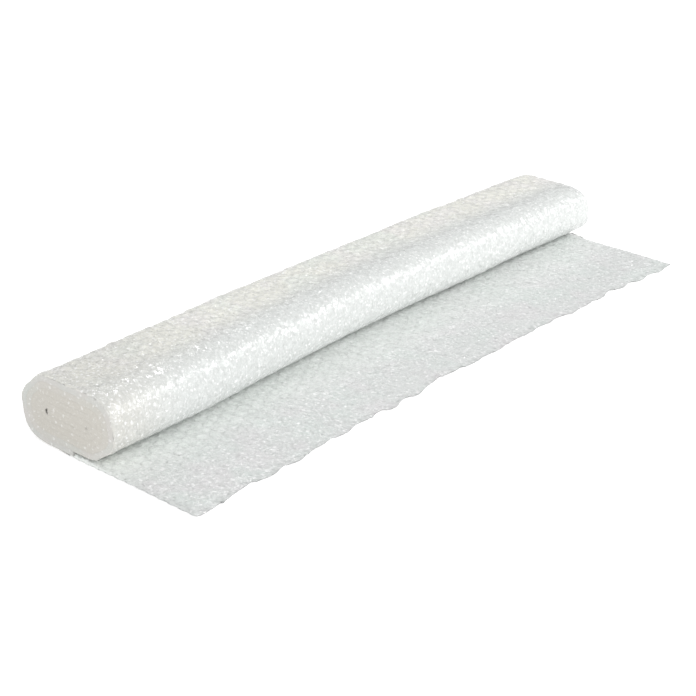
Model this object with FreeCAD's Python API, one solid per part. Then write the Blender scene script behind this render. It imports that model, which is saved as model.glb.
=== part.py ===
"""A coreless roll of small-bubble wrap lying on its side, with its loose end drawn out flat in front.

The film is one strip. From its hand-cut front edge it runs back over the floor, passes under the roll, turns up
round the back, over the top and down the front, and winds on inwards. Its plain backing faces outwards on the
roll, so the bubbles stand up on the drawn-out tail and face inwards in the turns. The roll is soft: it has sunk
to a leaning oval with a flat spot below, lower at its far end and skewed against the tail.

X runs along the roll's axis, Y from the cut edge towards the roll, and Z up from the floor. Millimetres.
The origin lies on the floor under the centre of the part's bounding box.
"""

import FreeCAD, Part
import math
import os

# The film
roll_width = 610.0          # the strip's width, along the roll's axis
backing_thickness = 0.8     # backing film, drawn thick enough to handle as a solid
bubble_height = 3.0         # bubbles above the backing
bubble_pitch = 10.36        # from one bubble to the next along the strip
crown_share = 0.66          # a bubble's crown as a share of its foot
selvedge = 1.0              # least flat film beside the bubbles

# The drawn-out tail
tail_length = 124.0         # from the foremost corners of the cut edge to the first turn
cut_bow = 9.0               # how far the middle of the cut edge lies behind its corners
cut_step = 2.4              # step left where one snip of the shears ends and the next begins
snip_length = 34.0

# The turns
turn_gap = 0.7              # air between one turn and the next, under the roll
whole_turns = 5             # the film ends under the roll's spine, just after these
creases_per_bend = 16       # small folds that round each half turn
flat_travel = 0.15          # share of a turn's inward drop that falls on each of its two flats


class Section:
    """The roll's oval at one end: a straight spine with the turns around it."""

    def __init__(self, along, nose, back, radius, lean):
        self.along = along          # place along the roll
        self.nose = nose            # foremost reach of the roll, behind the corners of the cut edge
        self.back = back            # its rearmost reach
        self.radius = radius        # half its height
        self.lean = lean            # share by which the upper front and lower back corners reach further
        self.spine_front = nose + radius
        self.spine_back = back - radius


NEAR = Section(along=0.0, nose=81.0, back=178.0, radius=28.2, lean=0.10)
FAR = Section(along=roll_width, nose=93.0, back=185.0, radius=25.2, lean=0.08)

film_thickness = backing_thickness + bubble_height
turn_pitch = film_thickness + turn_gap
turns_to_spine = max(NEAR.radius, FAR.radius) / turn_pitch
film_share = film_thickness / turn_pitch


def ease(share):
    """Go from 0 to 1 with level ends."""
    share = min(1.0, max(0.0, share))
    return share * share * (3.0 - 2.0 * share)


def film_point(section, spine_y, angle, travel, turn, depth):
    """A point of the wound film, a number of turns in and a depth of so many pitches into the film.

    It lies off the spine in the direction of the angle, in degrees from the back. Travel is the share of a turn
    gone by since the start under the roll. Below the nose each turn drops inwards by one pitch.
    """
    direction = math.radians(angle)
    reach = section.radius * (1.0 - section.lean * math.sin(2.0 * direction) ** 3)
    reach *= 1.0 - ease(angle / 90.0 - 2.0) / turns_to_spine
    left = turns_to_spine - travel
    reach *= (left - turn - depth) / left
    y = spine_y + reach * math.cos(direction)
    z = section.radius + reach * math.sin(direction)
    return FreeCAD.Vector(section.along, y, z)


def bend_points(section, spine_y, first_angle, first_travel, turn, depth):
    """Points round one half turn, one for each crease."""
    bend_travel = 0.5 - flat_travel
    points = []
    for crease in range(creases_per_bend + 1):
        share = crease / creases_per_bend
        angle = first_angle + 180.0 * share
        travel = first_travel + bend_travel * share
        points.append(film_point(section, spine_y, angle, travel, turn, depth))
    return points


def film_face(section, depth):
    """Points along one face of the wound film at one end, from under the roll inwards."""
    lead = flat_travel * (section.spine_back - tail_length) / (section.spine_back - section.spine_front)
    front = lead + 0.5
    points = [film_point(section, tail_length, -90.0, 0.0, 0, depth)]
    for turn in range(whole_turns):
        points += bend_points(section, section.spine_back, -90.0, lead, turn, depth)
        points += bend_points(section, section.spine_front, 90.0, front, turn, depth)
    points.append(film_point(section, section.spine_back, -90.0, lead, whole_turns, depth))
    return points


def section_wire(section):
    """Closed outline of the wound film at one end."""
    outer = film_face(section, 0.0)
    inner = film_face(section, film_share)
    return Part.makePolygon(outer + inner[::-1] + [outer[0]])


def wound_film():
    """The turns, ruled from the near section to the far one."""
    return Part.makeLoft([section_wire(NEAR), section_wire(FAR)], True, True)


def cut_depth(x):
    """How far the cut edge lies behind its foremost corners, without the steps between snips."""
    across = 2.0 * x / roll_width - 1.0
    return cut_bow * (1.0 - across * across)


def tail_backing():
    """The tail's plain backing, cut across in snips that each run a little too far back."""
    snips = max(1, round(roll_width / snip_length))
    corners = []
    for snip in range(snips):
        left = roll_width * snip / snips
        right = roll_width * (snip + 1) / snips
        corners.append(FreeCAD.Vector(left, cut_depth(left), 0.0))
        corners.append(FreeCAD.Vector(right, cut_depth(right) + cut_step, 0.0))
    corners.append(FreeCAD.Vector(roll_width, tail_length, 0.0))
    corners.append(FreeCAD.Vector(0.0, tail_length, 0.0))
    outline = Part.makePolygon(corners + [corners[0]])
    return Part.Face(outline).extrude(FreeCAD.Vector(0.0, 0.0, backing_thickness))


def bubble_centres():
    """Centres of the tail's bubbles, in rows along the strip that are staggered by half a pitch."""
    row_pitch = bubble_pitch * math.cos(math.radians(30.0))
    foot_radius = bubble_pitch / math.sqrt(3.0)
    rows = 1 + math.floor((roll_width - 2.0 * (foot_radius + selvedge)) / row_pitch)
    first_row = 0.5 * (roll_width - (rows - 1) * row_pitch)
    last_centre = tail_length - selvedge - 0.5 * bubble_pitch
    centres = []
    for row in range(rows):
        x = first_row + row * row_pitch
        front = max(cut_depth(x - foot_radius), cut_depth(x), cut_depth(x + foot_radius)) + cut_step + selvedge
        y = last_centre - 0.5 * bubble_pitch * (row % 2)
        while y - 0.5 * bubble_pitch > front:
            centres.append((x, y))
            y -= bubble_pitch
    return centres


class BubbleField:
    """Bubbles as six-sided domes with flat crowns, whose feet share their edges like a honeycomb."""

    def __init__(self):
        self.corners = {}
        self.edges = {}
        self.feet = {}
        self.faces = []

    def corner(self, x, y, z):
        """Name of the shared corner at a place."""
        name = (round(x, 3), round(y, 3), round(z, 3))
        self.corners.setdefault(name, Part.Vertex(x, y, z))
        return name

    def edge(self, start, end):
        """The shared edge between two corners."""
        name = (min(start, end), max(start, end))
        if name not in self.edges:
            self.edges[name] = Part.Edge(self.corners[name[0]], self.corners[name[1]])
        return self.edges[name]

    def ring(self, x, y, radius, z):
        """Names of six corners round a centre."""
        angles = [math.radians(60.0 * k) for k in range(6)]
        return [self.corner(x + radius * math.cos(a), y + radius * math.sin(a), z) for a in angles]

    def add_bubble(self, x, y):
        """Add the sides and crown of one bubble."""
        foot_radius = bubble_pitch / math.sqrt(3.0)
        foot = self.ring(x, y, foot_radius, backing_thickness)
        crown = self.ring(x, y, foot_radius * crown_share, film_thickness)
        for k in range(6):
            after = (k + 1) % 6
            foot_edge = self.edge(foot[k], foot[after])
            sides = [self.edge(foot[after], crown[after]), self.edge(crown[after], crown[k])]
            sides.append(self.edge(crown[k], foot[k]))
            self.faces.append(Part.Face(Part.Wire([foot_edge] + sides)))
            name = (min(foot[k], foot[after]), max(foot[k], foot[after]))
            self.feet[name] = self.feet.get(name, 0) + 1
        self.faces.append(Part.Face(Part.Wire([self.edge(crown[k], crown[(k + 1) % 6]) for k in range(6)])))

    def outlines(self):
        """Closed outlines of the whole field, made of the foot edges that only one bubble has."""
        rim = [self.edges[name] for name, uses in self.feet.items() if uses == 1]
        return [Part.Wire(loop) for loop in Part.sortEdges(rim)]


def bubble_film():
    """The whole strip as one solid: wound turns, flat tail and the tail's bubbles."""
    plain = wound_film().fuse(tail_backing())
    top = [face for face in plain.Faces if is_tail_top(face)][0]
    field = BubbleField()
    for x, y in bubble_centres():
        field.add_bubble(x, y)
    flat_film = Part.Face([top.OuterWire] + field.outlines())
    others = [face for face in plain.Faces if not face.isSame(top)]
    skin = Part.Compound(others + [flat_film] + field.faces)
    skin.sewShape()
    return Part.Solid(skin.Shells[0])


def is_tail_top(face):
    """Whether a face is the upper side of the tail's backing."""
    box = face.BoundBox
    level = abs(box.ZMin - backing_thickness) < 0.001 and abs(box.ZMax - backing_thickness) < 0.001
    return level and box.YMax < tail_length + 0.001


def to_origin(solid):
    """Move the strip so that its box stands centred on the origin."""
    box = solid.BoundBox
    middle = FreeCAD.Vector(0.5 * (box.XMin + box.XMax), 0.5 * (box.YMin + box.YMax), box.ZMin)
    return solid.translated(-middle)


os.makedirs("parts", exist_ok=True)
film = to_origin(bubble_film())
film.exportStep("parts/bubble_film.step")
print("bubble_film", film.isValid(), round(film.Volume / 1000.0, 1), "cm3", film.BoundBox)
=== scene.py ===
"""Looks of a coreless roll of small-bubble wrap with its loose end drawn out flat in front.

The whole object is one strip of film. Every mesh is worked out on the strip (across it, along it and above its
plain backing) and then laid on the path that the strip takes over the floor and round the roll. Metres.
"""

import logging
import math
from dataclasses import dataclass, field
from enum import Enum
from typing import Optional, Union

import bpy
import numpy as np
from mathutils import Euler, Matrix, Vector

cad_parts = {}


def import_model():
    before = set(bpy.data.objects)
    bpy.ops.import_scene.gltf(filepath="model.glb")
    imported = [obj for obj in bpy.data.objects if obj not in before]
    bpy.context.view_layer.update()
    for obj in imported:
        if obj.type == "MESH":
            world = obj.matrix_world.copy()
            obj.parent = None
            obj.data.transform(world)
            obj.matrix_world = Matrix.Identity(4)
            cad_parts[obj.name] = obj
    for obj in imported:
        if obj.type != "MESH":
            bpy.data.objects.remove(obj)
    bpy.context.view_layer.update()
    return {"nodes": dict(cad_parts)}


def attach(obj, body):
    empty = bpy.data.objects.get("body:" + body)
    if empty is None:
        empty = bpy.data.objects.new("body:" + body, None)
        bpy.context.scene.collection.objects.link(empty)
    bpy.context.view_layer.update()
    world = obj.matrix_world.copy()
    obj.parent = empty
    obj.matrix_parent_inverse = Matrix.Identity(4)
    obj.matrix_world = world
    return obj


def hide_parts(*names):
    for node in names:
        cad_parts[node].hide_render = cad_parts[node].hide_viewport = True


LOG = logging.getLogger("bubble_wrap_roll")
MM = 0.001
NODE = "bubble_film"
Number = Union[float, np.ndarray]
Input = Union["Socket", float, int, tuple]
Colour = tuple
WHITE: Colour = (1.0, 1.0, 1.0, 1.0)
BLACK: Colour = (0.0, 0.0, 0.0, 1.0)


def ease(share: Number) -> Number:
    """Go from 0 to 1 with level ends: three times the square less twice the cube.

    Args:
        share: Where between the two ends, limited to 0 to 1.

    Returns:
        The eased share.
    """
    share = np.clip(share, 0.0, 1.0)
    return share * share * (3.0 - 2.0 * share)


def quarter(share: Number) -> Number:
    """Go from 0 to 1 like a quarter circle that starts level: one less the root of one less the square.

    Args:
        share: Where between the two ends, limited to 0 to 1.

    Returns:
        The height.
    """
    share = np.clip(share, 0.0, 1.0)
    return 1.0 - np.sqrt(1.0 - share ** 2)


def tube_faces(rows: int, columns: int, lower: np.ndarray, upper: np.ndarray) -> np.ndarray:
    """Join each loop of points to the next one along a path, and close the first and the last one.

    Args:
        rows: How many loops there are.
        columns: How many points a loop has.
        lower: Points along one side of a loop.
        upper: The points that lie across from them.

    Returns:
        Quads, as numbers of points that are counted loop by loop.
    """
    numbers = np.arange(rows * columns).reshape(rows, columns)
    here, there = numbers[:-1], numbers[1:]
    sides = np.stack([here, np.roll(here, -1, 1), np.roll(there, -1, 1), there], axis=-1)
    cap = np.stack([lower[:-1], upper[:-1], upper[1:], lower[1:]], axis=-1) % columns
    return np.concatenate([sides.reshape(-1, 4), cap, numbers[-1, 0] + cap[:, ::-1]])


@dataclass(frozen=True)
class Waves:
    """A soft unevenness: a sum of sine waves whose directions, lengths and phases are drawn from a seed."""

    seed: int
    shortest: float
    longest: float
    count: int = 9

    def at(self, across: Number, along: Number) -> np.ndarray:
        """Add up the waves at places on the strip.

        Args:
            across: Places across the strip.
            along: Places along it.

        Returns:
            Heights with a spread of about one.
        """
        draw = np.random.default_rng(self.seed)
        total = np.zeros(np.broadcast(across, along).shape)
        for _ in range(self.count):
            length = math.exp(draw.uniform(math.log(self.shortest), math.log(self.longest)))
            heading = draw.uniform(0.0, math.pi)
            phase = draw.uniform(0.0, 2.0 * math.pi)
            run = across * math.cos(heading) + along * math.sin(heading)
            total += np.sin(2.0 * math.pi * run / length + phase)
        return total * math.sqrt(2.0 / self.count)


@dataclass(frozen=True)
class Oval:
    """The roll's section at places across the strip: a straight spine with the turns around it."""

    nose: np.ndarray
    back: np.ndarray
    radius: np.ndarray
    lean: np.ndarray


@dataclass(frozen=True)
class Strip:
    """The film's own sizes and the path that it takes. Places along it are counted from the first turn's start.

    The roll's nose, back, radius and lean are given at its near end, its middle and its far end.
    """

    width: float = 610.0 * MM
    tail: float = 124.0 * MM
    box_depth: float = 185.0 * MM
    bubble: float = 10.36 * MM
    weld_radius: float = 4.85 * MM
    selvedge: float = 1.0 * MM
    scallop: float = 1.3 * MM
    rim: float = 2.0 * MM
    rim_rate: float = 1.6
    nose: tuple = (81.0 * MM, 93.2 * MM, 93.0 * MM)
    back: tuple = (178.0 * MM, 186.5 * MM, 184.6 * MM)
    radius: tuple = (28.2 * MM, 26.8 * MM, 25.2 * MM)
    lean: tuple = (0.10, 0.09, 0.08)
    middle: float = 0.58
    droop: float = 1.4 * MM
    droop_run: float = 32.0 * MM
    pitch: float = 4.5 * MM
    turns_to_spine: float = radius[0] / pitch
    turn_length: float = 250.0 * MM
    flat_travel: float = 0.15
    sunk: float = 0.10
    settle: float = 40.0 * MM
    slack: Waves = Waves(seed=3, shortest=80.0 * MM, longest=260.0 * MM)
    slack_height: float = 0.45 * MM
    ripple: Waves = Waves(seed=8, shortest=45.0 * MM, longest=160.0 * MM)
    ripple_height: float = 0.18 * MM

    @property
    def row_pitch(self) -> float:
        """Distance between rows of bubbles across the strip."""
        return self.bubble * math.cos(math.radians(30.0))

    @property
    def rows(self) -> int:
        """How many rows of whole bubbles the strip has."""
        plain = 2.0 * (self.bubble / math.sqrt(3.0) + self.selvedge)
        return 1 + math.floor((self.width - plain) / self.row_pitch)

    def oval(self, across: np.ndarray) -> Oval:
        """Work out the roll's section from its near end, middle and far end.

        Each size goes from its near value to its middle one and on to its far one by easing. At the far end the
        roll droops a little, like a quarter circle.

        Args:
            across: Places across the strip, from the near edge.

        Returns:
            The section there.
        """
        share = across / self.width
        first = ease(share / self.middle)
        last = ease((share - self.middle) / (1.0 - self.middle))
        found = {}
        for name in ("nose", "back", "radius", "lean"):
            near, middle, far = getattr(self, name)
            found[name] = near + (middle - near) * first + (far - middle) * last
        found["radius"] = found["radius"] - self.droop * quarter(1.0 - (self.width - across) / self.droop_run)
        return Oval(**found)

    def side_inset(self, along: np.ndarray) -> np.ndarray:
        """How far the slit side edge lies inwards: a scallop for each bubble, as the size of a sine."""
        return self.scallop * (1.0 - np.abs(np.sin(math.pi * along / self.bubble)))

    def sideways(self, across: np.ndarray) -> np.ndarray:
        """How far the film's ends face sideways: from -1 at the near edge to 1 at the far one, by easing."""
        near, far = (ease(self.rim_rate * (1.0 - gap / self.rim)) for gap in (across, self.width - across))
        return far - near

    def _wind(self, oval: Oval, along: np.ndarray) -> tuple:
        """Follow the turns: back over the floor, up round the back, over the top, down round the nose and on.

        Args:
            oval: The roll's section.
            along: Places along the strip.

        Returns:
            The place on the spine, the angle off it in degrees, the share of a turn gone by and whole turns.
        """
        spine_back = oval.back - oval.radius
        spine = spine_back - (oval.nose + oval.radius)
        bend = math.pi * oval.radius
        turns = np.maximum(along, 0.0) / self.turn_length
        whole = np.floor(turns)
        gone = (turns - whole) * 2.0 * (spine + bend)
        lead = spine_back - self.tail
        lead_travel = self.flat_travel * lead / spine
        bend_travel = 0.5 - self.flat_travel
        # Each part's length, its share of the turn, its way along Y and how far it turns
        parts = (
            (lead, lead_travel, 1.0, 0.0),
            (bend, bend_travel, 0.0, 180.0),
            (spine, self.flat_travel, -1.0, 0.0),
            (bend, bend_travel, 0.0, 180.0),
            (spine - lead, self.flat_travel - lead_travel, 1.0, 0.0),
        )
        spine_y = np.full(along.shape, self.tail)
        angle = np.full(along.shape, -90.0)
        travel = np.zeros(along.shape)
        for length, share, way, turned in parts:
            done = np.clip(gone / length, 0.0, 1.0)
            gone = gone - length * done
            spine_y = spine_y + way * length * done
            angle = angle + turned * done
            travel = travel + share * done
        return spine_y, angle, travel, whole

    def place(self, across: np.ndarray, along: np.ndarray, lift: Number) -> np.ndarray:
        """Lay points of the strip on its path.

        On the tail a point lies straight above its place, raised by ripples that die out before the roll. In
        the turns it lies off the spine at an angle that goes once round in each turn. Its reach is the radius,
        more at the leaning corners, times the turns left before the spine over those that the first turn had
        left at that angle. Below the nose each turn drops inwards by one pitch. The soft inner turns spread to
        close the middle, and the film is a little slack except near the floor.

        Args:
            across: Places across the strip, from the near edge.
            along: Places along it, from the start of the first turn. The tail is negative.
            lift: Heights above the backing's outer face, towards the bubbles.

        Returns:
            Three coordinates in the last axis.
        """
        across, along, lift = np.broadcast_arrays(across, along, lift)
        oval = self.oval(across)
        spine_y, angle, travel, whole = self._wind(oval, along)
        direction = np.radians(angle)
        reach = oval.radius * (1.0 - oval.lean * np.sin(2.0 * direction) ** 3)
        reach = reach * (1.0 - ease(angle / 90.0 - 2.0) / self.turns_to_spine)
        left = self.turns_to_spine - travel
        share = (left - whole - lift / self.pitch) / left
        reach = reach * (share - self.sunk * (1.0 - share))
        phase = np.where(along > 0.0, along % self.turn_length, 0.0)
        loose = ease(phase / self.settle - 1.0) * ease((self.turn_length - phase) / self.settle)
        reach = reach + self.slack_height * self.slack.at(across, phase) * share * loose
        squash = oval.radius / self.radius[0]
        tail_z = lift * (1.0 + (squash - 1.0) * ease(1.0 + along / self.settle))
        ripple = np.maximum(1.0 + self.ripple.at(across, along), 0.0)
        tail_z = tail_z + self.ripple_height * ripple * (1.0 - ease(1.5 + along / self.settle))
        on_tail = along < 0.0
        y = np.where(on_tail, self.tail + along, spine_y + reach * np.cos(direction))
        z = np.where(on_tail, tail_z, oval.radius + reach * np.sin(direction))
        return np.stack([across - 0.5 * self.width, y - 0.5 * self.box_depth, z], axis=-1)

    def rise(self, across: np.ndarray, along: np.ndarray) -> np.ndarray:
        """Direction from the plain backing towards the bubbles, of length one."""
        step = self.place(across, along, MM) - self.place(across, along, 0.0)
        return step / np.linalg.norm(step, axis=-1, keepdims=True)


STRIP = Strip()


class Socket:
    """A shader socket that can be used in sums and products."""

    def __init__(self, tree: "Tree", link: bpy.types.NodeSocket) -> None:
        """Keep the socket itself and the tree that new nodes go into."""
        self.tree = tree
        self.link = link

    def _math(self, operation: str, other: Input) -> "Socket":
        """Add one Math node and return its value."""
        return self.tree.node("ShaderNodeMath", {"operation": operation}, {0: self, 1: other})

    def __add__(self, other: Input) -> "Socket":
        """Add."""
        return self._math("ADD", other)

    __radd__ = __add__

    def __mul__(self, other: Input) -> "Socket":
        """Multiply."""
        return self._math("MULTIPLY", other)

    __rmul__ = __mul__


class Tree:
    """A node tree, with one method that adds any node."""

    def __init__(self, owner: Union[bpy.types.Material, bpy.types.World]) -> None:
        """Start an empty tree.

        Args:
            owner: The material or world that it belongs to.
        """
        owner.use_nodes = True
        self.owner = owner
        self.nodes = owner.node_tree.nodes
        self.links = owner.node_tree.links
        self.nodes.clear()

    def node(
        self,
        kind: str,
        settings: Optional[dict] = None,
        inputs: Optional[dict] = None,
        output: Union[int, str] = 0,
    ) -> Socket:
        """Add a node, set it and feed it.

        Args:
            kind: The node's type.
            settings: Its own settings, set first.
            inputs: Values or sockets, by the input's name or number.
            output: Which output to return.

        Returns:
            The chosen output.
        """
        made = self.nodes.new(kind)
        for name, value in (settings or {}).items():
            setattr(made, name, value)
        for name, value in (inputs or {}).items():
            if isinstance(value, Socket):
                self.links.new(value.link, made.inputs[name])
            else:
                made.inputs[name].default_value = value
        return Socket(self, made.outputs[output] if len(made.outputs) else None)

    def attribute(self, name: str, output: str = "Fac") -> Socket:
        """Read a value, or with the output Vector a vector, that the mesh carries."""
        return self.node("ShaderNodeAttribute", {"attribute_name": name}, output=output)

    def vector(self, operation: str, first: Input, second: Input) -> Socket:
        """Add one Vector Math node and return its vector."""
        return self.node("ShaderNodeVectorMath", {"operation": operation}, {0: first, 1: second})

    def unit(self, direction: Socket) -> Socket:
        """Give a direction the length one."""
        return self.node("ShaderNodeVectorMath", {"operation": "NORMALIZE"}, {0: direction})

    def noise(self, where: Socket, scale: float, detail: float = 2.0, roughness: float = 0.5) -> Socket:
        """Add a noise: its cells in a metre, its octaves, and how much the finer octaves count."""
        inputs = {"Vector": where, "Scale": scale, "Detail": detail, "Roughness": roughness}
        return self.node("ShaderNodeTexNoise", {}, inputs)

    def ramp(self, value: Socket, low: float, high: float) -> Socket:
        """Stretch a value so that low becomes 0 and high becomes 1, with level ends."""
        inputs = {"Value": value, "From Min": low, "From Max": high}
        return self.node("ShaderNodeMapRange", {"interpolation_type": "SMOOTHSTEP"}, inputs)

    def mix(self, share: Input, first: Input, second: Input) -> Socket:
        """Mix two colours, by the share of the second."""
        return self.node("ShaderNodeMix", {"data_type": "RGBA"}, {0: share, 6: first, 7: second}, output=2)

    def turned_to(self, share: float, target: Socket) -> Socket:
        """Turn the surface's normal by a share towards another direction, and give it the length one."""
        inputs = {0: share, 4: self.node("ShaderNodeNewGeometry", output="Normal"), 5: target}
        return self.unit(self.node("ShaderNodeMix", {"data_type": "VECTOR"}, inputs, output=1))

    def dots(
        self,
        where: Socket,
        scale: float,
        fray: tuple = (0.5, 4.0),
        edge: tuple = (0.46, 0.37),
        chosen: tuple = (0.46, 0.62),
    ) -> Socket:
        """Scatter small ragged dots: the middles of half the cells of a random pattern, frayed by a noise.

        Args:
            where: Coordinates to read the cells at.
            scale: Cells in a metre.
            fray: How strong the noise is, and how many of its cells go into one of the pattern's.
            edge: Frayed distances from a cell's middle at which a dot ends and at which it is full.
            chosen: Between which of the cells' random values dots come up.

        Returns:
            A value from 0 to 1.
        """
        flat = {"voronoi_dimensions": "2D"}
        inputs = {"Vector": where, "Scale": scale}
        frayed = self.node("ShaderNodeTexVoronoi", flat, inputs)
        frayed = frayed + fray[0] * self.noise(where, fray[1] * scale)
        chance = self.node("ShaderNodeTexVoronoi", flat, inputs, output="Color")
        return self.ramp(frayed, *edge) * self.ramp(chance, *chosen)

    def faceted(self, where: Socket, scale: float, tilt: float, under: Socket) -> Socket:
        """Tilt a normal by a random amount in each cell of a crinkled pattern.

        Args:
            where: Coordinates to read the cells at.
            scale: Cells in a metre.
            tilt: Spread of the tilt, as the slope between the two extremes.
            under: The normal that is tilted.

        Returns:
            The new normal, of length one.
        """
        chance = self.node("ShaderNodeTexVoronoi", {}, {"Vector": where, "Scale": scale}, output="Color")
        centred = self.vector("SUBTRACT", chance, (0.5, 0.5, 0.5))
        return self.unit(self.vector("ADD", under, self.vector("MULTIPLY", centred, (tilt, tilt, tilt))))

    def bump(self, height: Socket, distance: float, under: Socket) -> Socket:
        """Add a bump on top of a normal, where a height of 1 stands for the distance."""
        return self.node("ShaderNodeBump", {}, {"Height": height, "Distance": distance, "Normal": under})


@dataclass(frozen=True)
class Film:
    """A look of the film: milky plastic, cloudy in tint, crumpled all over and glossy.

    Scales are cells in a metre. A cloud has a scale and the two limits of its noise.
    """

    name: str
    milky: Colour
    greenish: Colour
    pinkish: Colour
    # Painted shading where the mesh asks: painted shade on the roll's front, painted light on the tail by the
    # roll
    painted_shading: Colour = (0.795, 0.825, 0.810, 1.0)
    warm: Colour = (0.800, 0.775, 0.730, 1.0)
    # Colour of the painted shading along the welds: painted shade on the roll, painted light on the tail
    weld_shading: Colour = (0.600, 0.615, 0.600, 1.0)
    # Colour of the painted glints: the pale specks of painted sparkle and the ragged dots
    painted_glint: Colour = (0.990, 0.990, 0.990, 1.0)
    shade: Colour = (0.520, 0.535, 0.515, 1.0)
    pink_cloud: tuple = (26.0, 0.46, 0.62)
    green_cloud: tuple = (19.0, 0.48, 0.64)
    weld_shading_share: float = 0.35
    # Painted sparkle: fine specks of painted glint and of painted shade
    painted_sparkle: float = 0.5
    painted_sparkle_scale: float = 460.0
    painted_sparkle_limits: tuple = (0.04, 0.20)
    shade_share: float = 0.6
    # Ragged dots of painted glint
    dots: float = 0.0
    dots_scale: float = 170.0
    index: float = 1.5
    gloss: float = 0.20
    coat: float = 0.5
    coat_gloss: float = 0.07
    softness: float = 0.55
    facet: float = 0.28
    facet_scale: float = 620.0
    facet_stretch: tuple = (1.0, 0.6, 1.0)
    crumple: float = 0.8 * MM
    crumple_scale: float = 190.0
    hair: float = 0.5 * MM
    hair_scale: float = 420.0
    hair_stretch: tuple = (1.0, 0.32, 1.0)

    def _colour(self, tree: Tree, where: Socket) -> Socket:
        """Work out the colour.

        It clouds over to pinkish and greenish in patches, and is warmer where the mesh says so. Where the mesh
        says
        so it also takes painted shading: painted shade, darker and cooler, on the roll's front, and painted
        light, pale and greenish, on the tail next to the roll. Along the welds it takes painted shade on the
        roll and painted light on the tail. A fine speckle of painted sparkle makes it paler here and darker
        there, and some ragged dots are painted glints, nearly white.

        Args:
            tree: The material's tree.
            where: Coordinates on the strip.

        Returns:
            The colour.
        """
        colour = self.milky
        for tint, (scale, low, high) in ((self.pinkish, self.pink_cloud), (self.greenish, self.green_cloud)):
            colour = tree.mix(tree.ramp(tree.noise(where, scale), low, high), colour, tint)
        # Painted shading: painted shade on the roll's front, painted light on the tail next to the roll
        colour = tree.mix(tree.attribute("painted_shading"), colour, self.painted_shading)
        colour = tree.mix(tree.attribute("warm"), colour, self.warm)
        # Painted shade along the welds on the roll, painted light along them on the tail
        colour = tree.mix(tree.attribute("weld") * self.weld_shading_share, colour, self.weld_shading)
        # Painted sparkle: pale specks mix to the painted glint colour, dark ones to the shade colour
        painted_sparkle = tree.noise(where, self.painted_sparkle_scale, roughness=0.7)
        low, high = self.painted_sparkle_limits
        paler = tree.ramp(painted_sparkle, 0.5 + low, 0.5 + high) * self.painted_sparkle
        darker = tree.ramp(painted_sparkle, 0.5 - low, 0.5 - high) * (self.painted_sparkle * self.shade_share)
        colour = tree.mix(darker, tree.mix(paler, colour, self.painted_glint), self.shade)
        # Ragged dots of painted glint, nearly white
        return tree.mix(tree.dots(where, self.dots_scale) * self.dots, colour, self.painted_glint)

    def _normal(self, tree: Tree, where: Socket) -> Socket:
        """Work out the normal.

        The film lets light through, so its shading is turned towards the plain sheet's. Small facets, each
        tilted at random, a noise of crumples and one of fine creases round the roll turn the normal further, so
        that each facet catches the light by itself.

        Args:
            tree: The material's tree.
            where: Coordinates on the strip.

        Returns:
            The normal.
        """
        normal = tree.turned_to(self.softness, tree.attribute("plain", "Vector"))
        drawn_out = tree.vector("MULTIPLY", where, self.facet_stretch)
        normal = tree.faceted(drawn_out, self.facet_scale, self.facet, normal)
        crumples = tree.noise(where, self.crumple_scale, detail=3.0, roughness=0.6)
        hairs = tree.noise(tree.vector("MULTIPLY", where, self.hair_stretch), self.hair_scale, roughness=0.6)
        return tree.bump(hairs, self.hair, tree.bump(crumples, self.crumple, normal))

    def material(self) -> bpy.types.Material:
        """Build the film's material. Some bubbles glint more than others.

        Returns:
            The material.
        """
        tree = Tree(bpy.data.materials.new(self.name))
        where = tree.attribute("strip", "Vector")
        inputs = {
            "Base Color": self._colour(tree, where),
            "Roughness": self.gloss,
            "IOR": self.index,
            "Coat Weight": tree.attribute("glint") * self.coat,
            "Coat Roughness": self.coat_gloss,
            "Normal": self._normal(tree, where),
        }
        shader = tree.node("ShaderNodeBsdfPrincipled", {}, inputs)
        tree.node("ShaderNodeOutputMaterial", {}, {"Surface": shader})
        return tree.owner


class Finish(Enum):
    """The looks that parts of the film have."""

    WOUND = Film(
        name="film_wound",
        milky=(0.930, 0.925, 0.850, 1.0),
        greenish=(0.905, 0.932, 0.865, 1.0),
        pinkish=(0.940, 0.920, 0.885, 1.0),
        # Painted shade on the roll's front: darker and cooler than the top
        painted_shading=(0.727, 0.750, 0.737, 1.0),
        warm=(0.700, 0.690, 0.645, 1.0),
        painted_sparkle=0.7,
        dots=0.85,
        dots_scale=210.0,
        gloss=0.17,
        coat=0.9,
        softness=0.45,
        facet=0.31,
        crumple=0.9 * MM,
        hair=0.7 * MM,
    )
    TAIL = Film(
        name="film_tail",
        milky=(0.695, 0.713, 0.704, 1.0),
        greenish=(0.683, 0.725, 0.704, 1.0),
        pinkish=(0.713, 0.708, 0.712, 1.0),
        # Painted light on the tail next to the roll: pale and greenish
        painted_shading=(0.905, 0.940, 0.912, 1.0),
        # Painted light along the welds, paler than the film, where the grooves would be in shade
        weld_shading=(0.820, 0.838, 0.828, 1.0),
        weld_shading_share=0.45,
        painted_sparkle=0.6,
        dots=0.8,
        dots_scale=165.0,
        coat=0.7,
        softness=0.94,
        facet=0.16,
    )
    SHEET = Film(
        name="film_sheet",
        milky=(0.930, 0.935, 0.930, 1.0),
        greenish=(0.780, 0.805, 0.775, 1.0),
        pinkish=(0.820, 0.795, 0.790, 1.0),
        crumple=0.6 * MM,
        hair=0.3 * MM,
    )
    TURNS = Film(
        name="film_turns",
        milky=(0.605, 0.605, 0.580, 1.0),
        greenish=(0.590, 0.610, 0.580, 1.0),
        pinkish=(0.620, 0.600, 0.575, 1.0),
        warm=(0.585, 0.562, 0.510, 1.0),
        weld_shading_share=0.0,
        painted_sparkle=0.2,
        dots=0.35,
        gloss=0.35,
        softness=0.90,
        facet=0.12,
        crumple=0.4 * MM,
        hair=0.2 * MM,
    )


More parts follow.
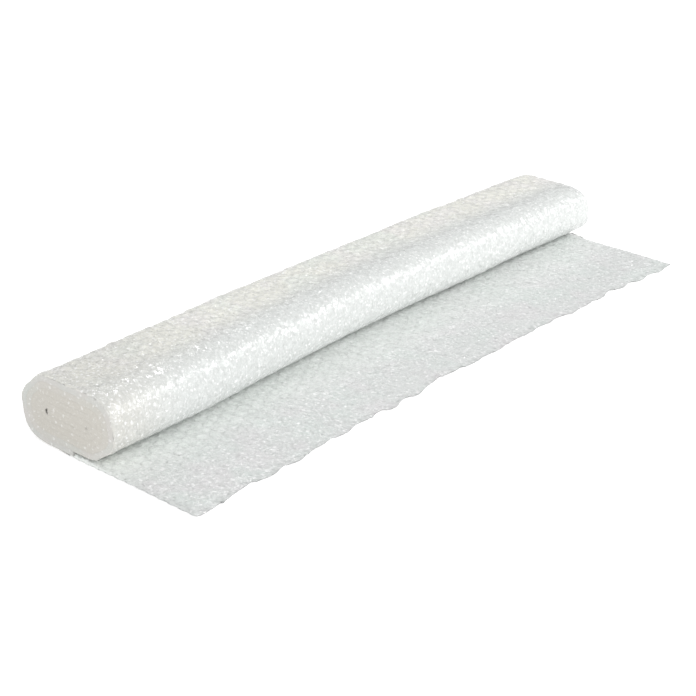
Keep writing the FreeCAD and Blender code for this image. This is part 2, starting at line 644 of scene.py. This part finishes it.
@dataclass
class FilmMesh:
    """Points on the strip, faces between them, and the values that the film's material reads.

    The values are the shares of the painted shading along the welds, of the painted light and shade and of
    the warm tint, and the glints' strength. Outward is 1 where the piece faces the bubbles' way, or else -1.
    """

    name: str
    finish: Finish
    across: np.ndarray
    along: np.ndarray
    lift: np.ndarray
    faces: np.ndarray
    outward: float
    values: dict = field(default_factory=dict)
    join_within: float = 0.02 * MM

    def build(self, join: bool = False) -> bpy.types.Object:
        """Lay the points on the strip's path and make the smooth-shaded mesh, which rides with the roll.

        Args:
            join: Whether to join points that lie together and drop faces without area.

        Returns:
            The new object, at the origin.
        """
        places = STRIP.place(self.across, self.along, self.lift).reshape(-1, 3)
        side = STRIP.sideways(self.across)[..., None]
        plain = self.outward * STRIP.rise(self.across, self.along) * (1.0 - np.abs(side))
        plain = (plain + side * np.array([1.0, 0.0, 0.0])).reshape(-1, 3)
        strip = np.stack([self.across + self.lift, self.along, self.lift], axis=-1).reshape(-1, 3)
        shape = self.across.shape
        values = {name: np.broadcast_to(value, shape).ravel() for name, value in self.values.items()}
        for name in ("weld", "painted_shading", "warm", "glint"):
            values.setdefault(name, np.zeros(self.across.size))
        values.update({"plain": plain, "strip": strip})
        faces = self.faces
        if join:
            places, faces, values = self._joined(places, faces, values)
        mesh = self._mesh(places, faces)
        for name, value in values.items():
            vector = value.ndim == 2
            layer = mesh.attributes.new(name, "FLOAT_VECTOR" if vector else "FLOAT", "POINT")
            layer.data.foreach_set("vector" if vector else "value", value.astype(np.float32).ravel())
        mesh.materials.append(self.finish.value.material())
        piece = bpy.data.objects.new(self.name, mesh)
        bpy.context.scene.collection.objects.link(piece)
        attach(piece, "root")
        LOG.info("%s: %d points, %d faces", self.name, len(places), len(faces))
        return piece

    def _mesh(self, places: np.ndarray, faces: np.ndarray) -> bpy.types.Mesh:
        """Put the arrays into a mesh.

        Args:
            places: A row of three coordinates for each point.
            faces: A row of numbers of points for each face.

        Returns:
            The mesh.
        """
        corners = faces.shape[1]
        mesh = bpy.data.meshes.new(self.name)
        mesh.vertices.add(len(places))
        mesh.vertices.foreach_set("co", places.ravel())
        mesh.loops.add(faces.size)
        mesh.loops.foreach_set("vertex_index", faces.ravel().astype(np.int32))
        mesh.polygons.add(len(faces))
        mesh.polygons.foreach_set("loop_start", np.arange(0, faces.size, corners, dtype=np.int32))
        mesh.polygons.foreach_set("loop_total", np.full(len(faces), corners, dtype=np.int32))
        mesh.update(calc_edges=True)
        mesh.polygons.foreach_set("use_smooth", np.ones(len(faces), dtype=bool))
        return mesh

    def _joined(self, places: np.ndarray, faces: np.ndarray, values: dict) -> tuple:
        """Join points that lie together, drop triangles without area, and leave out points that none uses.

        Args:
            places: A row of three coordinates for each point.
            faces: A row of three numbers of points for each triangle.
            values: What each point carries, by name.

        Returns:
            The new places, faces and values.
        """
        keys = np.round(places / self.join_within).astype(np.int64)
        _, first, which = np.unique(keys, axis=0, return_index=True, return_inverse=True)
        faces = which.ravel()[faces]
        places = places[first]
        a, b, c = (places[faces[:, k]] for k in range(3))
        area = 0.5 * np.linalg.norm(np.cross(b - a, c - a), axis=1)
        faces = faces[area > self.join_within ** 2]
        used = np.unique(faces)
        renumber = np.zeros(len(places), dtype=np.int64)
        renumber[used] = np.arange(len(used))
        values = {name: value[first][used] for name, value in values.items()}
        return places[used], renumber[faces], values


@dataclass
class Net:
    """Cells of bubbles on the strip: a row for each cell and a column for each point, the centre first.

    All cells have the same offsets from their centres, and the same shares, which are the offsets' lengths over
    the weld's radius.
    """

    across: np.ndarray
    along: np.ndarray
    share: np.ndarray
    offset: np.ndarray
    faces: np.ndarray


@dataclass(frozen=True)
class Honeycomb:
    """The pattern of bubbles: rows along the strip, staggered by half a pitch, each bubble in a six-sided cell.

    A cell has a centre, some rings round it and a border that it shares with its neighbours.
    """

    rings: tuple
    spokes: int = 12

    def _points(self) -> tuple:
        """Work out one cell's points: on circles, and on the border at half the pitch over a cosine.

        Returns:
            Their offsets from the centre, and their distances from it over the weld's radius.
        """
        turn = 2.0 * math.pi * np.arange(self.spokes) / self.spokes
        circle = np.stack([np.cos(turn), np.sin(turn)], axis=-1)
        to_side = np.cos(turn % (math.pi / 3.0) - math.pi / 6.0)
        border = (0.5 * STRIP.bubble / to_side)[:, None] * circle
        rings = [share * STRIP.weld_radius * circle for share in self.rings]
        shares = [np.full(self.spokes, share) for share in self.rings]
        beyond = np.linalg.norm(border, axis=1) / STRIP.weld_radius
        offset = np.concatenate([np.zeros((1, 2))] + rings + [border])
        return offset, np.concatenate([np.zeros(1)] + shares + [beyond])

    def _triangles(self) -> np.ndarray:
        """Join one cell's points: a fan round the centre and a pair for each spoke between two rings.

        Returns:
            A row of three numbers of points for each triangle.
        """
        spoke = np.arange(self.spokes)
        after = (spoke + 1) % self.spokes
        found = [np.stack([0 * spoke, 1 + spoke, 1 + after], axis=-1)]
        for ring in range(len(self.rings)):
            inner = 1 + ring * self.spokes
            outer = inner + self.spokes
            found.append(np.stack([inner + spoke, outer + spoke, outer + after], axis=-1))
            found.append(np.stack([inner + spoke, outer + after, inner + after], axis=-1))
        return np.concatenate(found)

    def net(self, first: float, last: float) -> Net:
        """Lay cells over the strip's width between two places along it.

        Args:
            first: Lowest place along.
            last: Highest place along.

        Returns:
            The cells. The outermost may reach past the strip.
        """
        pitch = STRIP.bubble
        first_row = 0.5 * (STRIP.width - (STRIP.rows - 1) * STRIP.row_pitch)
        start = -STRIP.selvedge - 0.5 * pitch
        row = np.arange(-1, STRIP.rows + 1)
        step = np.arange(math.floor((first - start) / pitch) - 1, math.ceil((last - start) / pitch) + 2)
        grid_row, grid_step = np.meshgrid(row, step, indexing="ij")
        across = first_row + grid_row * STRIP.row_pitch
        along = start + (grid_step - 0.5 * (grid_row % 2)) * pitch
        keep = (along > first - 0.5 * pitch) & (along < last + 0.5 * pitch)
        across, along = across[keep], along[keep]
        offset, share = self._points()
        faces = self._triangles()[None] + (np.arange(len(across)) * len(offset))[:, None, None]
        places = (across[:, None] + offset[:, 0], along[:, None] + offset[:, 1])
        return Net(*places, share, offset, faces.reshape(-1, 3))


@dataclass
class EdgeLine:
    """The hand-cut front edge of the strip."""

    bow: float = 9.5 * MM
    bow_peak: float = 0.56
    bow_power: float = 0.8
    snip: float = 31.0 * MM
    snip_spread: float = 0.25
    step: float = 2.6 * MM
    least_step: float = 0.3
    step_run: float = 1.5 * MM
    wander: Waves = Waves(seed=17, shortest=24.0 * MM, longest=80.0 * MM, count=7)
    wander_height: float = 1.1 * MM
    wander_margin: float = 30.0 * MM
    corner: float = 5.0 * MM
    seed: int = 11

    def __post_init__(self) -> None:
        """Draw where each snip of the shears ends and how much too far back it runs."""
        draw = np.random.default_rng(self.seed)
        count = round(STRIP.width / self.snip)
        ends = np.linspace(0.0, STRIP.width, count + 1)
        ends[1:-1] += draw.uniform(-self.snip_spread, self.snip_spread, count - 1) * self.snip
        over = draw.uniform(self.least_step, 1.0, count) * self.step
        self.across = np.stack([ends[:-1] + self.step_run, ends[1:]], axis=-1).ravel()
        self.extra = np.stack([np.zeros(count), over], axis=-1).ravel()

    def front(self, across: np.ndarray) -> np.ndarray:
        """Place of the cut edge.

        It is a bow as a power of a skewed sine, with soft waves that die out at both corners and a small step
        after each snip. The near corner is rounded off like a quarter circle.

        Args:
            across: Places across the strip.

        Returns:
            Places along the strip.
        """
        share = np.clip(across / STRIP.width, 0.0, 1.0)
        skew = share ** (math.log(0.5) / math.log(self.bow_peak))
        bow = self.bow * np.sin(math.pi * skew) ** self.bow_power
        rounded = self.corner * quarter(1.0 - across / self.corner)
        margin = ease(np.minimum(across, STRIP.width - across) / self.wander_margin)
        waves = self.wander_height * margin * self.wander.at(across, 0.0)
        return -STRIP.tail + bow + rounded + waves + np.interp(across, self.across, self.extra)


@dataclass
class TailFilm:
    """The drawn-out loose end: blown bubbles on a plain backing, cut by hand in front.

    Gaps and runs without a unit are in bubbles or rows of them. Rings and the weld's start are in its radii.
    """

    crown: float = 2.75 * MM
    groove: float = 1.75 * MM
    backing: float = 0.25 * MM
    sheet_share: float = 0.95
    under_roll: float = 4.0 * MM
    tuck_run: float = 6.0 * MM
    nose_reach: float = 32.0 * MM
    nose_rise: float = 0.8 * MM
    nose_groove: float = 0.85
    rings: tuple = (0.55, 0.88, 1.0)
    least_fill: float = 0.70
    slack_share: float = 0.07
    slack_fill: float = 0.45
    cut_fill: float = 0.12
    cut_gap: float = 0.1
    side_fill: float = 0.25
    side_run: float = 0.9
    edge_run: float = 0.4
    tilt: float = 0.07
    bulge_power: float = 2.5
    # Painted light along the welds: where it starts, in radii, and its share past the cell's border
    weld_from: float = 0.7
    weld_beyond: float = 0.6
    # Painted light on the tail next to the roll: its share at the near end, how much it drops to the far end,
    # and its reach
    painted_shading: float = 0.97
    painted_shading_drop: float = 0.5
    painted_shading_reach: float = 38.0 * MM
    glint_power: int = 3
    sheet_columns: int = 240
    sheet_steps: int = 40
    seed: int = 5

    def _fill(self, net: Net, edge: EdgeLine, draw: np.random.Generator) -> np.ndarray:
        """Draw how full each bubble is. A few are slack, and all are flatter at the cut edge and the sides.

        Args:
            net: The cells of the bubbles.
            edge: The strip's front edge.
            draw: Where the draws come from.

        Returns:
            A share for each bubble.
        """
        across, along = net.across[:, 0], net.along[:, 0]
        fill = draw.uniform(self.least_fill, 1.0, len(across))
        slack = draw.uniform(size=len(across)) < self.slack_share
        fill = np.where(slack, fill * self.slack_fill, fill)
        gap = along - edge.front(np.clip(across, 0.0, STRIP.width))
        off_cut = ease(gap / STRIP.bubble - self.cut_gap)
        off_side = ease(np.minimum(across, STRIP.width - across) / (self.side_run * STRIP.row_pitch))
        fill = fill * (self.cut_fill + (1.0 - self.cut_fill) * off_cut)
        return fill * (self.side_fill + (1.0 - self.side_fill) * off_side)

    def bubbles(self, edge: EdgeLine) -> bpy.types.Object:
        """Build the blown film: each bubble rises steeply from its weld to a soft, slightly slack crown.

        The height goes as the square root of one less a high power of the distance from the centre, times the
        bubble's own fill. The grooves are see-through and look shallower than they are, so they are drawn
        raised, except at the edges. Under the roll's nose the film is at its full height.

        Args:
            edge: The strip's front edge.

        Returns:
            The piece.
        """
        net = Honeycomb(self.rings).net(-STRIP.tail, self.under_roll)
        draw = np.random.default_rng(self.seed)
        cells = len(net.across)
        fill = self._fill(net, edge, draw)
        dome = np.sqrt(np.clip(1.0 - net.share ** self.bulge_power, 0.0, 1.0))
        lean = 1.0 + draw.normal(0.0, self.tilt, (cells, 2)) @ net.offset.T / STRIP.weld_radius
        inset = STRIP.side_inset(net.along)
        across = np.clip(net.across, inset, STRIP.width - inset)
        along = np.maximum(net.along, edge.front(across))
        to_side = np.minimum(across, STRIP.width - across) - inset
        inner = ease(np.minimum(along - edge.front(across), to_side) / (self.edge_run * STRIP.bubble))
        under_nose = ease(2.0 * (1.0 + along / self.nose_reach)) * (to_side > 0.0)
        inner = np.maximum(inner, self.nose_groove * under_nose)
        relief = self.groove * inner + (self.crown - self.groove) * fill[:, None] * dome * lean
        relief = relief + self.nose_rise * under_nose
        lift = self.backing + relief * ease((self.under_roll - along) / self.tuck_run)
        # Painted light along the welds
        weld = ease((net.share - self.weld_from) / (1.0 - self.weld_from))
        # Painted light on the tail next to the roll, less towards the far end
        painted_shading = self.painted_shading - self.painted_shading_drop * ease(across / STRIP.width)
        values = {
            "weld": weld * np.where(net.share <= 1.0, 1.0, self.weld_beyond),
            "painted_shading": painted_shading * ease(2.0 + along / self.painted_shading_reach),
            "glint": draw.uniform(size=(cells, 1)) ** self.glint_power,
        }
        mesh = FilmMesh("tail_bubbles", Finish.TAIL, across, along, lift, net.faces, 1.0, values)
        return mesh.build(join=True)

    def sheet(self, edge: EdgeLine) -> bpy.types.Object:
        """Build the backing as a closed thin sheet: a loop round its section, carried across the strip.

        Args:
            edge: The strip's front edge.

        Returns:
            The piece.
        """
        evenly = np.linspace(0.0, STRIP.width, self.sheet_columns)
        across = np.clip(np.unique(np.concatenate([edge.across, evenly])), 0.0, STRIP.width)[:, None]
        count = self.sheet_steps
        share = np.concatenate([np.linspace(0.0, 1.0, count), np.linspace(1.0, 0.0, count)])
        top = np.repeat([0.0, 1.0], count)
        front = edge.front(across)
        along = front + (self.under_roll - front) * share
        inset = STRIP.side_inset(along)
        across = np.clip(across + 0.0 * along, inset, STRIP.width - inset)
        lift = self.sheet_share * self.backing * top + 0.0 * along
        lower = np.arange(count)
        faces = tube_faces(*across.shape, lower, 2 * count - 1 - lower)[:, ::-1]
        return FilmMesh("tail_sheet", Finish.SHEET, across, along, lift, faces, -1.0).build()


@dataclass
class WoundFilm:
    """The roll: the outer face of its first turn with pillowed bubbles, and the band of turns inside it.

    Places and runs without a unit are in turns. Rings and the weld's start are in its radii.
    """

    first: float = 4.0 * MM
    last: float = 246.0 * MM
    rings: tuple = (0.5, 0.92)
    pillow: float = 0.55 * MM
    least_fill: float = 0.35
    tilt: float = 0.045 * MM
    dents: Waves = Waves(seed=21, shortest=9.0 * MM, longest=34.0 * MM, count=24)
    dent: float = 0.12 * MM
    deepest: float = 0.12 * MM
    free_from: float = 20.0 * MM
    free_run: float = 30.0 * MM
    least_inset: float = 0.86 * MM
    curl: float = 0.7 * MM
    curl_run: float = 16.0 * MM
    # Painted shade along the welds: where it starts, in radii, and its share
    weld_from: float = 0.6
    weld: float = 0.7
    glint_power: int = 2
    # Share of a turn at which the painted shade on the roll's front starts
    painted_shade_from: float = 0.54
    front_from: float = 0.60
    front_run: float = 0.12
    warm_top: float = 0.55
    warm_front: float = 0.95
    warm_front_reach: float = 75.0 * MM
    warm_reach: float = 160.0 * MM
    warm_turns: float = 2.4
    turns: float = 5.1
    skin: float = 0.02 * MM
    first_skin: float = 0.5 * MM
    skin_from: float = 0.8
    skin_run: float = 0.25
    inset: float = 1.0 * MM
    bead: float = 0.2 * MM
    bead_waist: float = 0.72
    steps_a_bubble: int = 5
    sheet_points: int = 45
    round_points: int = 8
    seed: int = 7

    def outer_turn(self) -> bpy.types.Object:
        """Build the outer face of the first turn, which bulges a little over each bubble and has soft dents.

        The bulge is one less the square of the distance from the bubble's centre, times a random fill, with a
        tilt of its own. At the side edges the film curls in like a quarter circle. The roll's front gets
        painted shade, darker and cooler, and its near end is painted warmer and darker.

        Returns:
            The piece.
        """
        net = Honeycomb(self.rings).net(self.first, self.last)
        draw = np.random.default_rng(self.seed)
        cells = len(net.across)
        fill = draw.uniform(self.least_fill, 1.0, (cells, 1))
        bulge = np.clip(1.0 - net.share ** 2, 0.0, 1.0)
        tilt = draw.normal(0.0, self.tilt, (cells, 2)) @ net.offset.T / (0.5 * STRIP.weld_radius)
        along = np.clip(net.along, self.first, self.last)
        inset = np.maximum(STRIP.side_inset(along), self.least_inset)
        across = np.clip(net.across, inset, STRIP.width - inset)
        relief = self.pillow * fill * bulge + tilt * (net.share < 1.0)
        relief = relief + self.dent * self.dents.at(across, along)
        relief = np.maximum(relief, -self.deepest) * ease((along - self.free_from) / self.free_run)
        to_edge = np.minimum(across, STRIP.width - across) - inset
        curled = self.curl * quarter(1.0 - to_edge / STRIP.rim) * ease((along - self.first) / self.curl_run)
        share = along / STRIP.turn_length
        front = ease((share - self.front_from) / self.front_run)
        warm_top = self.warm_top * (1.0 - ease(across / self.warm_reach))
        warm_front = self.warm_front * (1.0 - ease(across / self.warm_front_reach))
        # Painted shade along the welds and on the roll's front, a warmer tint at the near end, and the glints
        values = {
            "weld": self.weld * ease((net.share - self.weld_from) / (1.0 - self.weld_from)),
            "painted_shading": ease((share - self.painted_shade_from) / self.front_run),
            "warm": (1.0 - front) * warm_top + front * warm_front,
            "glint": draw.uniform(size=(cells, 1)) ** self.glint_power,
        }
        faces = net.faces[:, ::-1]
        mesh = FilmMesh("outer_turn", Finish.WOUND, across, along, curled - relief, faces, -1.0, values)
        return mesh.build(join=True)

    def _loop(self) -> tuple:
        """Work out the loop round the film's section: two straight faces joined by steeply rounded ends.

        Returns:
            Places across, heights above the backing's outer face, and how far the bead moves each point.
        """
        sheet = np.linspace(self.inset, STRIP.width - self.inset, self.sheet_points)
        half = math.pi * np.arange(1, self.round_points + 1) / (self.round_points + 1)
        middle = 0.5 * (STRIP.pitch + self.skin)
        height = 0.5 * (STRIP.pitch - self.skin) * np.cos(half)
        flat, round_end = 0.0 * sheet, np.sqrt(np.sin(half))
        ends = np.full(self.round_points, self.inset)
        across = np.concatenate([sheet, STRIP.width - ends, sheet[::-1], ends])
        lift = np.concatenate([flat + self.skin, middle - height, flat + STRIP.pitch, middle + height])
        return across, lift, np.concatenate([flat, round_end, flat, -round_end])

    def inner_turns(self) -> bpy.types.Object:
        """Build the wound film as one thick band with beaded ends.

        A loop round the film's own section is carried along its path. At the roll's two ends it is round, and
        swells out and in once for each bubble. The first turn lies deeper, under its outer face.

        Returns:
            The piece.
        """
        length = self.turns * STRIP.turn_length
        along = np.linspace(0.0, length, int(length * self.steps_a_bubble / STRIP.bubble))[:, None]
        loop_across, loop_lift, swell = self._loop()
        wave = np.abs(np.cos(math.pi * along / STRIP.bubble))
        across = loop_across + swell * self.bead * (self.bead_waist + (1.0 - self.bead_waist) * wave)
        share = along / STRIP.turn_length
        deeper = (self.first_skin - self.skin) * (1.0 - ease((share - self.skin_from) / self.skin_run))
        lift = loop_lift + deeper * (STRIP.pitch - loop_lift) / (STRIP.pitch - self.skin)
        lower = np.arange(-self.round_points // 2, self.sheet_points + self.round_points // 2)
        upper = 2 * self.sheet_points + self.round_points - 1 - lower
        faces = tube_faces(*across.shape, lower, upper)
        values = {"warm": (1.0 - ease(across / self.warm_reach)) * ease(share / self.warm_turns)}
        along = along + 0.0 * across
        return FilmMesh("inner_turns", Finish.TURNS, across, along, lift, faces, -1.0, values).build()


@dataclass(frozen=True)
class Lamp:
    """A soft rectangular lamp that faces the roll."""

    name: str
    toward: tuple
    size: tuple
    radiance: float
    away: float = 1.8

    def hang(self) -> None:
        """Put up the lamp. Its power is pi times its area times its radiance."""
        data = bpy.data.lights.new(self.name, "AREA")
        data.shape = "RECTANGLE"
        data.size, data.size_y = self.size
        data.energy = math.pi * self.size[0] * self.size[1] * self.radiance
        lamp = bpy.data.objects.new(self.name, data)
        out = Vector(self.toward).normalized()
        lamp.location = out * self.away
        lamp.rotation_euler = out.to_track_quat("Z", "Y").to_euler()
        bpy.context.scene.collection.objects.link(lamp)


@dataclass(frozen=True)
class Stage:
    """The floor, the lamps, the camera and the world. Angles are in degrees, the lens and the sensor in mm."""

    aim: tuple = (-0.0327, 0.0088, 0.0)
    distance: float = 1.3807
    azimuth: float = -49.87
    elevation: float = 24.93
    roll: float = 1.157
    lens: float = 88.23
    sensor: float = 36.0
    view_end: float = 20.0
    floor_reach: float = 6.0
    floor_drop: float = 0.3 * MM
    floor_paint: Colour = (0.86, 0.86, 0.86, 1.0)
    floor_gloss: float = 0.9
    floor_glow: float = 0.50
    room: float = 0.57
    lamps: tuple = (
        Lamp("band", (0.69, -0.58, 0.45), (0.6, 0.40), 10.0),
        Lamp("front", (0.10, -0.80, 0.62), (1.3, 0.8), 3.2),
        Lamp("spark", (0.50, 0.45, 0.70), (0.14, 0.14), 22.0),
        Lamp("dots", (0.69, -0.42, 0.56), (0.14, 0.14), 55.0),
        Lamp("left", (-0.95, -0.1, 0.22), (0.9, 0.9), 3.6),
    )

    def camera(self) -> None:
        """Put up the camera, which looks at a point on the floor from two angles and a distance."""
        data = bpy.data.cameras.new("camera")
        data.lens = self.lens
        data.sensor_width = self.sensor
        data.clip_end = self.view_end
        turn = Euler((math.radians(90.0 - self.elevation), 0.0, math.radians(self.azimuth))).to_matrix()
        turn = turn @ Matrix.Rotation(math.radians(self.roll), 3, "Z")
        stand = Vector(self.aim) + turn @ Vector((0.0, 0.0, self.distance))
        camera = bpy.data.objects.new("camera", data)
        camera.matrix_world = Matrix.Translation(stand) @ turn.to_4x4()
        bpy.context.scene.collection.objects.link(camera)
        bpy.context.scene.camera = camera

    @staticmethod
    def seen(tree: Tree) -> Socket:
        """Give 1 to rays from the camera, straight, by a mirror or through something clear, and else 0."""
        rays = ("Is Camera Ray", "Is Glossy Ray", "Is Transmission Ray")
        camera, glossy, clear = (tree.node("ShaderNodeLightPath", output=ray) for ray in rays)
        return tree.node("ShaderNodeClamp", {}, {"Value": camera + glossy + clear})

    def world(self) -> None:
        """Fill the room with plain pale light that looks white behind the object."""
        tree = Tree(bpy.data.worlds.new("room"))
        seen = tree.node("ShaderNodeLightPath", output="Is Camera Ray")
        inputs = {"Color": WHITE, "Strength": self.room + (1.0 - self.room) * seen}
        tree.node("ShaderNodeOutputWorld", {}, {"Surface": tree.node("ShaderNodeBackground", {}, inputs)})
        bpy.context.scene.world = tree.owner

    def floor(self) -> None:
        """Lay a pale floor that looks white to the camera and keeps a soft shadow."""
        tree = Tree(bpy.data.materials.new("floor_paint"))
        inputs = {
            "Base Color": self.floor_paint,
            "Roughness": self.floor_gloss,
            "Emission Color": tree.mix(self.seen(tree), BLACK, WHITE),
            "Emission Strength": self.floor_glow,
        }
        paint = tree.node("ShaderNodeBsdfPrincipled", {}, inputs)
        tree.node("ShaderNodeOutputMaterial", {}, {"Surface": paint})
        reach = self.floor_reach
        mesh = bpy.data.meshes.new("floor")
        corners = [(-reach, -reach, 0.0), (reach, -reach, 0.0), (reach, reach, 0.0), (-reach, reach, 0.0)]
        mesh.from_pydata(corners, [], [(0, 1, 2, 3)])
        mesh.materials.append(tree.owner)
        floor = bpy.data.objects.new("floor", mesh)
        floor.location.z = -self.floor_drop
        bpy.context.scene.collection.objects.link(floor)

    def build(self) -> None:
        """Put up everything around the object."""
        bpy.context.scene.view_settings.view_transform = "Standard"
        self.camera()
        for lamp in self.lamps:
            lamp.hang()
        self.world()
        self.floor()


def main() -> None:
    """Load the frame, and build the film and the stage."""
    logging.basicConfig(level=logging.INFO)
    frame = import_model()
    LOG.info("nodes: %s", list(frame["nodes"]))
    Stage().build()
    edge = EdgeLine()
    tail = TailFilm()
    roll = WoundFilm()
    for piece in (tail.bubbles(edge), tail.sheet(edge), roll.outer_turn(), roll.inner_turns()):
        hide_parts(NODE)


if __name__ == "__main__":
    main()
